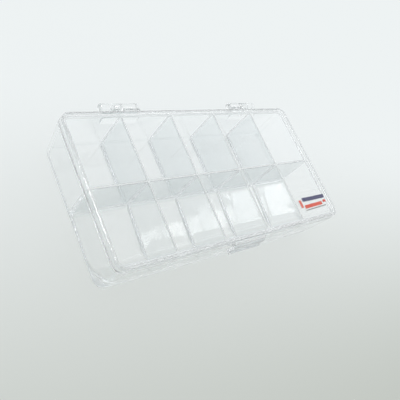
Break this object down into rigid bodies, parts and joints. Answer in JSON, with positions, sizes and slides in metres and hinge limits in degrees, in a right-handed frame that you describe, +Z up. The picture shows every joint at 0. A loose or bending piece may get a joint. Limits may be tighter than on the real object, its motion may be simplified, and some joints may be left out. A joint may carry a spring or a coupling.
{
  "type": "hinged compartment case",
  "caption": "Flat clear plastic case for beads and small parts: two rows of compartments under a hinged lid with a snap tab.",
  "frame": {"origin": "middle of the tray's flat base, in the plane that the case stands on", "axes": "+X along the case, +Y towards the hinges, +Z up through the lid"},
  "size_m": [0.136, 0.0763, 0.0251],
  "materials": {
    "clear_tray": "clear, polished",
    "clear_lid": "clear, polished",
    "label_film": "printed clear film"
  },
  "bodies": {
    "tray": {"tray_shell": "clear_tray", "middle_wall": "clear_tray", "front_divider_1": "clear_tray", "front_divider_2": "clear_tray", "front_divider_3": "clear_tray", "front_divider_4": "clear_tray", "back_divider_1": "clear_tray", "back_divider_2": "clear_tray", "back_divider_3": "clear_tray", "back_divider_4": "clear_tray", "tray_hinge_left": "clear_tray", "tray_hinge_right": "clear_tray", "latch_catch": "clear_tray"},
    "lid": {"lid_cover": "clear_lid", "lid_hinge_left": "clear_lid", "lid_hinge_right": "clear_lid", "latch_tab": "clear_lid", "film_label": "label_film"}
  },
  "joints": [
    {"name": "lid_hinge", "type": "hinge", "parent": "tray", "child": "lid", "pos_m": [0, 0.03745, 0.0216], "axis": [-1, 0, 0], "range_deg": [0, 180]}
  ]
}
